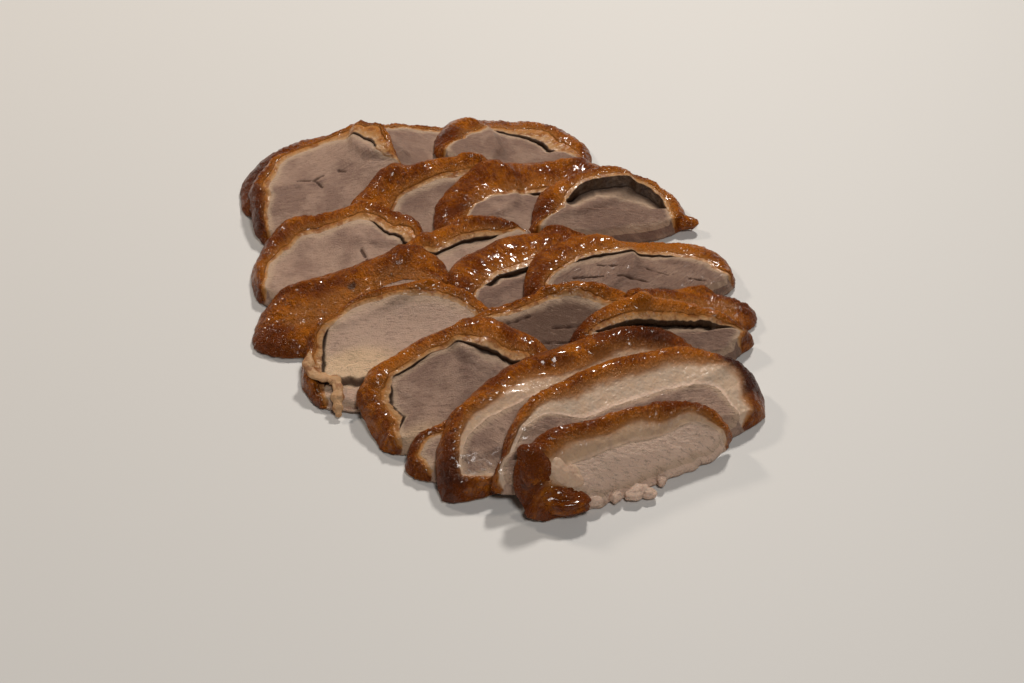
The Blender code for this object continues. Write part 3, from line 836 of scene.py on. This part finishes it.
def remember_top(row, flat, top):
    """Adds the upper surface of a slice to the heights that later ones rest on."""
    cells = cells_at(placed(row, flat.reshape(-1, 2)) - CENTRE)
    for right in (-1, 0, 1):
        for up in (-1, 0, 1):
            np.maximum.at(laid_tops, (cells[:, 0] + right, cells[:, 1] + up), top.ravel())


# %% Values kept on the points


def marks_of(facts, flats, around, zones, rim):
    """Values kept on every point, and a vector that runs round the edge and across it."""
    angles, skin, edge = rim
    brown = np.zeros(len(around))
    for centre, half, amount in facts["brown"]:
        brown += amount * hump(around, centre, half)
    cream = np.zeros(len(around))
    for u, v, wide, high, amount in facts["cream"]:
        away = ((flats[:, 0] - u) / wide) ** 2 + ((flats[:, 1] - v) / high) ** 2
        cream += amount * np.exp(-away)
    steps = np.linalg.norm(np.roll(edge, -1, axis=0) - edge, axis=1)
    run = np.concatenate([[0], np.cumsum(steps)[:-1]]) / steps.sum() * 2 * math.pi
    turn = np.interp(around, angles, run)
    size = steps.sum() / (2 * math.pi)
    across = np.minimum(zones, 8) * 5.0
    band = np.column_stack([np.cos(turn) * size, np.sin(turn) * size, across])
    if facts["cover"] < 1:
        # A slice that shows only skin has no rim to follow, so its pattern lies flat on it.
        band = np.column_stack([flats, zones])
    values = {"zone": zones, "skin": np.interp(around, angles, skin), "brown": brown, "cream": cream}
    return values, band


def build_mesh(row, flats, highs, faces, values, band):
    """A mesh object from flat points, heights, faces and the values on its points."""
    places = placed(row, flats) - CENTRE
    points = np.column_stack([places, highs]) * MM
    single = [tuple(dict.fromkeys(face)) for face in faces]
    mesh = bpy.data.meshes.new("duck_" + row.name)
    mesh.from_pydata(points.tolist(), [], [face for face in single if len(face) > 2])
    mesh.shade_smooth()
    for name, numbers in values.items():
        layer = mesh.attributes.new(name, "FLOAT", "POINT")
        layer.data.foreach_set("value", numbers.astype(np.float32))
    for name, vectors in (("flat", np.column_stack([flats, highs])), ("band", band)):
        layer = mesh.attributes.new(name, "FLOAT_VECTOR", "POINT")
        layer.data.foreach_set("vector", vectors.astype(np.float32).ravel())
    piece = bpy.data.objects.new("duck_" + row.name, mesh)
    bpy.context.scene.collection.objects.link(piece)
    return piece


pieces = [make_slice(seed, row) for seed, row in enumerate(SLICES)]
print("faces", sum(len(piece.data.polygons) for piece in pieces))

# %% [markdown]
# ## Relief
# Roast skin is bumpy: pores stand up where feathers were, and the skin wrinkles as its fat
# renders. Cut meat shows bundles of fibres. One node tree pushes the points of any slice along
# their normals by the zone that they are in, and leaves the underside plain, so that slices
# don't cut into each other. Its sizes are named inputs, so each slice can have coarser or finer
# meat.

# %% A short way to write node trees


class Value:
    """One output socket, so that maths on it reads as an expression."""

    def __init__(self, tree, socket):
        self.tree, self.socket = tree, socket

    def maths(self, operation, first, second):
        return self.tree.node("ShaderNodeMath", dict(operation=operation), {0: first, 1: second})

    def __add__(self, other):
        return self.maths("ADD", self, other)

    def __radd__(self, other):
        return self.maths("ADD", other, self)

    def __sub__(self, other):
        return self.maths("SUBTRACT", self, other)

    def __rsub__(self, other):
        return self.maths("SUBTRACT", other, self)

    def __mul__(self, other):
        return self.maths("MULTIPLY", self, other)

    def __rmul__(self, other):
        return self.maths("MULTIPLY", other, self)


class Tree:
    """A node tree with one method that adds any node."""

    def __init__(self, nodes):
        self.nodes = nodes

    def node(self, kind, settings=None, inputs=None, output=0):
        node = self.nodes.nodes.new(kind)
        for name, setting in (settings or {}).items():
            setattr(node, name, setting)
        for key, value in (inputs or {}).items():
            if isinstance(value, Value):
                self.nodes.links.new(value.socket, node.inputs[key])
            else:
                node.inputs[key].default_value = value
        return Value(self, node.outputs[output])

    def step(self, value, low, high):
        """0 below low, 1 above high and smooth between."""
        settings = dict(interpolation_type="SMOOTHSTEP")
        inputs = {"Value": value, "From Min": low, "From Max": high}
        return self.node("ShaderNodeMapRange", settings, inputs)

    def noise(self, vector, scale, detail=2.0, rough=0.5, twist=0.0):
        inputs = {"Vector": vector, "Scale": scale, "Detail": detail, "Roughness": rough,
                  "Distortion": twist}
        return self.node("ShaderNodeTexNoise", {}, inputs)

    def cells(self, vector, scale):
        return self.node("ShaderNodeTexVoronoi", {}, {"Vector": vector, "Scale": scale})

    def shifted(self, vector, by):
        return self.node("ShaderNodeVectorMath", dict(operation="ADD"), {0: vector, 1: by})

    def stretched(self, vector, turn, scale):
        """A vector turned about its last axis and scaled along each."""
        turned = self.node("ShaderNodeVectorRotate", {}, {"Vector": vector, "Angle": turn})
        return self.node("ShaderNodeVectorMath", dict(operation="MULTIPLY"), {0: turned, 1: scale})


# %% Relief tree
# Heights in mm and the turn in radians. SEED_SHIFT moves the patterns from slice to slice.
RELIEF_SIZES = {"Pore height": 0.38, "Wrinkle height": 1.3, "Fibre height": 0.16,
                "Fibre turn": 0.2, "Seed": 0.0}
SEED_SHIFT = 0.37


def add_input(group, name, kind, value):
    socket = group.interface.new_socket(name, in_out="INPUT", socket_type=kind)
    if kind != "NodeSocketGeometry":
        socket.default_value = value
    return socket


def named(tree, name, kind="FLOAT"):
    return tree.node("GeometryNodeInputNamedAttribute", dict(data_type=kind), {"Name": name})


def relief_tree():
    """Pushes the points of a slice along their normals, zone by zone."""
    group = bpy.data.node_groups.new("relief", "GeometryNodeTree")
    add_input(group, "Slice", "NodeSocketGeometry", None)
    for name, size in RELIEF_SIZES.items():
        add_input(group, name, "NodeSocketFloat", size)
    add_input(group, "Finish", "NodeSocketMaterial", None)
    group.interface.new_socket("Slice", in_out="OUTPUT", socket_type="NodeSocketGeometry")
    tree = Tree(group)
    entry = group.nodes.new("NodeGroupInput")
    given = {socket.name: Value(tree, socket) for socket in entry.outputs}
    zone = named(tree, "zone")
    skin = tree.step(named(tree, "skin"), 0.15, 0.6) * (1 - tree.step(zone, 0.9, 1.15))
    skin = skin * (0.35 + 0.65 * tree.step(zone, 0.0, 0.35))
    meat = tree.step(zone, 2.9, 3.3)
    fat = (1 - skin) * (1 - meat)
    place = tree.node("GeometryNodeInputPosition")
    shift = tree.node("ShaderNodeCombineXYZ", {}, {"X": given["Seed"], "Y": given["Seed"]})
    spot = tree.shifted(place, shift)
    band = tree.shifted(named(tree, "band", "FLOAT_VECTOR"), shift)
    pores = 1 - tree.step(tree.cells(spot, 560.0), 0.0, 0.6)
    creases = tree.noise(band, 0.38, 3.0, 0.6, 0.5) - 0.5
    swells = tree.noise(spot, 75.0, 1.0) - 0.5
    on_skin = pores * given["Pore height"] + (creases + swells) * given["Wrinkle height"]
    flat = named(tree, "flat", "FLOAT_VECTOR")
    across = tree.stretched(flat, given["Fibre turn"], (0.22, 0.9, 0.0))
    fibres = tree.noise(tree.shifted(across, shift), 1.0, 3.0, 0.6, 0.4) - 0.5
    lumps = tree.noise(spot, 150.0, 2.0) - 0.5
    crumbs = tree.noise(spot, 620.0, 2.0) - 0.5
    on_meat = (fibres * 1.8 + lumps + crumbs * 0.8) * given["Fibre height"]
    on_fat = (tree.noise(spot, 260.0, 2.0) - 0.5) * 0.8
    push = (skin * on_skin + meat * on_meat + fat * on_fat) * (1 - named(tree, "under")) * MM
    normal = tree.node("GeometryNodeInputNormal")
    offset = tree.node("ShaderNodeVectorMath", dict(operation="SCALE"), {0: normal, "Scale": push})
    pushed = tree.node("GeometryNodeSetPosition", {}, {"Geometry": given["Slice"], "Offset": offset})
    real = tree.node("GeometryNodeRealizeInstances", {}, {"Geometry": pushed})
    dressed = tree.node("GeometryNodeSetMaterial", {}, {"Geometry": real, "Material": given["Finish"]})
    leave = group.nodes.new("NodeGroupOutput")
    group.links.new(dressed.socket, leave.inputs[0])
    return group


RELIEF = relief_tree()
print("relief nodes", len(RELIEF.nodes))

# %% [markdown]
# ## Finish
# The skin was glazed and roasted, so it is amber where thin, caramel in patches, nearly black
# where it caught, and glossy over fine wrinkles. Towards its cut edge it turns to orange and
# then to the pale rim of the fat. Cooked breast is a greyed pink that turns to beige at its rim.
# One material holds all of them, and the zone on each point picks. It also holds painted shade
# in the hollows, cracks and torn steps, and painted light and shade in the tone of some slices.

# %% Colours
AMBER = (0.46, 0.132, 0.008, 1)
CARAMEL = (0.175, 0.036, 0.003, 1)
BURNT = (0.050, 0.009, 0.002, 1)
ORANGE = (0.42, 0.160, 0.036, 1)
FAT = (0.42, 0.215, 0.085, 1)
FAT_RIM = (0.54, 0.33, 0.18, 1)
CLEAR_FAT = (0.56, 0.42, 0.31, 1)
# Painted shade: the near black of the hollows under the fat's lip.
HOLLOW_SHADE = (0.020, 0.007, 0.003, 1)
MEAT = (0.47, 0.310, 0.230, 1)
MEAT_DARK = (0.32, 0.200, 0.150, 1)
# Partly darker meat and partly painted shade, for slices with a tone below 0.
MEAT_SHADE = (0.13, 0.070, 0.045, 1)
MEAT_RIM = (0.60, 0.42, 0.29, 1)
# The pale line at the inner edge of thick fat, and painted light for slices with a tone above 0.
PALE_LINE_AND_PAINTED_LIGHT = (0.84, 0.60, 0.46, 1)
CREAM = (0.82, 0.58, 0.36, 1)
# Dark of torn meat, grain and one speck on the skin, and painted shade in cracks and below torn steps.
TORN_AND_CREVICE_SHADE = (0.085, 0.042, 0.027, 1)


def mixed(tree, share, first, second):
    """A colour between two colours: sockets 6, 7 and 2 are a Mix node's colours."""
    settings = dict(data_type="RGBA", clamp_factor=True)
    return tree.node("ShaderNodeMix", settings, {0: share, 6: first, 7: second}, 2)


def attribute(tree, name, output="Fac"):
    return tree.node("ShaderNodeAttribute", dict(attribute_name=name), {}, output)


# %% Skin, fat and meat


def skin_colour(tree, spot, band, zone, brown):
    """Caramel in patches, amber where thin, burnt where it browned most."""
    patches = tree.noise(spot, 70.0, 3.0, 0.55)
    speckle = tree.noise(spot, 520.0, 3.0, 0.65)
    streaks = tree.noise(band, 0.55, 3.0, 0.6, 0.4)
    tone = tree.step(patches * 0.9 + speckle * 0.4 + streaks * 0.5 + brown * 0.3, 0.72, 1.08)
    colour = mixed(tree, tone, AMBER, CARAMEL)
    caught = tree.step(brown + (patches - 0.5) * 1.4 + (speckle - 0.5) * 0.7, 0.55, 1.45)
    colour = mixed(tree, caught * 0.93, colour, BURNT)
    outer = 1 - tree.step(zone, 0.0, 0.3)
    colour = mixed(tree, outer * 0.45, colour, CARAMEL)
    rim = tree.step(zone + (speckle - 0.5) * 0.3, 0.62, 1.02)
    return mixed(tree, rim * (1 - caught) * 0.75, colour, ORANGE)


def fat_colour(tree, spot, zone, clear):
    """Orange next to the skin, paler inwards, greyer and clearer in the thick layers."""
    cloud = tree.noise(spot, 190.0, 3.0, 0.6)
    thin = mixed(tree, tree.step(zone + (cloud - 0.5) * 0.9, 1.0, 1.65), ORANGE, FAT)
    thin = mixed(tree, tree.step(zone + (cloud - 0.5) * 0.8, 1.5, 1.95) * 0.65, thin, FAT_RIM)
    mottle = tree.step(tree.noise(spot, 270.0, 3.0, 0.65), 0.48, 0.62)
    thin = mixed(tree, mottle * 0.55, thin, CARAMEL)
    thick = mixed(tree, tree.step(cloud, 0.3, 0.7), CLEAR_FAT, MEAT_RIM)
    thick = mixed(tree, (1 - tree.step(zone + (cloud - 0.5) * 0.6, 0.95, 1.4)) * 0.8, thick, ORANGE)
    thick = mixed(tree, tree.step(zone, 1.80, 1.96) * 0.6, thick, PALE_LINE_AND_PAINTED_LIGHT)
    return mixed(tree, clear, thin, thick)


def meat_colour(tree, spot, flat, zone, cream, facts):
    """Greyed pink with a beige rim and the fine streaks of the grain."""
    grain = tree.stretched(flat, math.radians(facts["grain"]), (0.24, 1.4, 0.0))
    streaks = tree.noise(grain, 1.0, 4.0, 0.7, 0.6)
    cloud = tree.noise(spot, 80.0, 3.0, 0.6)
    dots = tree.noise(spot, 1300.0, 2.0, 0.6)
    # The slice's tone paints light and shade besides the meat's own colour: above 0 it is painted light
    # on slices that lean away from the main lamp, below 0 partly darker meat and partly painted shade
    # under an upper slice's lip.
    colour = mixed(tree, tree.step(cloud - facts["tone"] * 0.18, 0.40, 0.66), MEAT, MEAT_DARK)
    colour = mixed(tree, max(0.0, facts["tone"]) * 0.6, colour, PALE_LINE_AND_PAINTED_LIGHT)
    colour = mixed(tree, max(0.0, -facts["tone"]) * 0.6, colour, MEAT_SHADE)
    pale = 1 - tree.step(streaks, 0.32, 0.44)
    colour = mixed(tree, pale * 0.3, colour, MEAT_RIM)
    rim = 1 - tree.step(zone + (cloud - 0.5) * 1.4, 3.1, 4.3)
    colour = mixed(tree, rim * 0.8, colour, MEAT_RIM)
    colour = mixed(tree, tree.step(cream, 0.15, 0.7) * 0.8, colour, CREAM)
    dark = tree.step(streaks * 0.75 + dots * 0.25, 0.50, 0.64) * (0.24 + 0.22 * facts["coarse"])
    return mixed(tree, dark, colour, TORN_AND_CREVICE_SHADE)


# %% The whole finish of a slice


def duck_finish(row, seed):
    """The whole material of one slice."""
    facts = facts_of(row.name)
    material = bpy.data.materials.new("duck_" + row.name)
    material.use_nodes = True
    tree = Tree(material.node_tree)
    shader = material.node_tree.nodes["Principled BSDF"]
    where = tree.node("ShaderNodeTexCoord", {}, {}, "Object")
    spot = tree.shifted(where, (seed * SEED_SHIFT, 0, 0))
    zone, skin = attribute(tree, "zone"), attribute(tree, "skin")
    flat, band = attribute(tree, "flat", "Vector"), attribute(tree, "band", "Vector")
    brown, cream, torn_and_shade = (attribute(tree, name) for name in ("brown", "cream", "torn_and_shade"))
    nibble = (tree.noise(spot, 420.0, 2.0) - 0.5) * 0.5
    is_rind = tree.step(skin + nibble, 0.28, 0.55)
    blend = 0.22 * facts["clear"]
    is_skin = is_rind * (1 - tree.step(zone + nibble * 0.3, 0.95 - blend, 1.08 + blend))
    is_meat = tree.step(zone + nibble * 0.3, 2.05, 2.2)
    hollow = tree.step(zone, 1.80, 1.92) * (1 - tree.step(zone + nibble * 0.4, 2.45, 3.4))
    lower = (1 - is_rind) * (1 - tree.step(zone, 3.0, 3.1))
    meat = meat_colour(tree, spot, flat, zone + lower * 4.0, cream, facts)
    colour = fat_colour(tree, spot, zone, facts["clear"])
    colour = mixed(tree, is_meat, colour, meat)
    colour = mixed(tree, lower, colour, meat)
    # Painted shade: the hollow under the fat's lip is darkened nearly to black, as its shade would be.
    if facts["gaps"]:
        deep = tree.step(attribute(tree, "deep"), 0.1, 0.9)
        colour = mixed(tree, hollow * deep * 0.92, colour, HOLLOW_SHADE)
    colour = mixed(tree, is_skin, colour, skin_colour(tree, spot, band, zone, brown))
    # Cracks and torn steps are painted dark: partly their own colour, partly painted shade in them.
    colour = mixed(tree, tree.step(torn_and_shade, 0.15, 0.8) * 0.9, colour, TORN_AND_CREVICE_SHADE)
    patches = tree.noise(spot, 260.0, 2.0)
    meaty = is_meat + lower - is_meat * lower
    rough = 0.28 + (meaty + hollow * (1 - meaty)) * 0.26 + (patches - 0.5) * 0.5
    rest = (1 - is_skin) * (1 - meaty)
    wet = tree.step(patches, 0.42, 0.60)
    coat = is_skin * wet * (1 - tree.step(brown, 0.8, 1.6) * 0.5) * 0.5
    coat = coat + rest * wet * (1 - hollow) * (0.2 + 0.8 * facts["clear"])
    coat = coat + meaty * wet * (0.03 * facts["coarse"] + 0.30 * facts["clear"])
    link = material.node_tree.links.new
    link(colour.socket, shader.inputs["Base Color"])
    link(rough.socket, shader.inputs["Roughness"])
    link(coat.socket, shader.inputs["Coat Weight"])
    shader.inputs["Coat Roughness"].default_value = 0.12
    shader.inputs["Specular IOR Level"].default_value = 0.17
    shader.inputs["Subsurface Weight"].default_value = 0.10
    shader.inputs["Subsurface Radius"].default_value = (1.0, 0.5, 0.3)
    shader.inputs["Subsurface Scale"].default_value = 0.0018
    link(bump_of(tree, spot, flat, band, is_skin, meaty, facts).socket, shader.inputs["Normal"])
    return material


def bump_of(tree, spot, flat, band, is_skin, meaty, facts):
    """Fine relief: creases and tiny blisters on the skin, fibre ends on the meat."""
    blisters = tree.noise(spot, 850.0, 3.0, 0.6) + tree.noise(band, 1.6, 2.0, 0.6, 0.5)
    grain = tree.stretched(flat, math.radians(facts["grain"]), (0.9, 3.4, 0.0))
    fibres = tree.noise(grain, 1.0, 3.0, 0.7) + tree.noise(spot, 1700.0, 2.0, 0.7) * 0.8
    smooth = tree.noise(spot, 500.0, 2.0)
    rest = (1 - is_skin) * (1 - meaty)
    height = is_skin * blisters * 2.2 + meaty * fibres * (0.45 + 0.5 * facts["coarse"]) + rest * smooth
    inputs = {"Strength": 0.8, "Distance": 0.0010, "Height": height}
    return tree.node("ShaderNodeBump", {}, inputs)


print("slices to finish", len(pieces))

# %% Give every slice its relief and finish


def set_input(modifier, name, value):
    """Sets a named input of a node modifier by its identifier."""
    for item in modifier.node_group.interface.items_tree:
        if item.item_type == "SOCKET" and item.in_out == "INPUT" and item.name == name:
            modifier[item.identifier] = value


def carve_relief(piece, row, seed):
    """Runs the relief tree on a slice and keeps the result as a plain mesh."""
    facts = facts_of(row.name)
    modifier = piece.modifiers.new("relief", "NODES")
    modifier.node_group = RELIEF
    set_input(modifier, "Fibre height", 0.18 + 0.2 * facts["coarse"])
    set_input(modifier, "Fibre turn", math.radians(facts["grain"]))
    set_input(modifier, "Seed", seed * SEED_SHIFT)
    set_input(modifier, "Finish", duck_finish(row, seed))
    graph = bpy.context.evaluated_depsgraph_get()
    mesh = bpy.data.meshes.new_from_object(piece.evaluated_get(graph))
    piece.modifiers.remove(modifier)
    piece.data = mesh


for seed, (row, piece) in enumerate(zip(SLICES, pieces)):
    carve_relief(piece, row, seed)
    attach(piece, "root")
    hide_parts(row.name)
print("dressed", len(pieces))
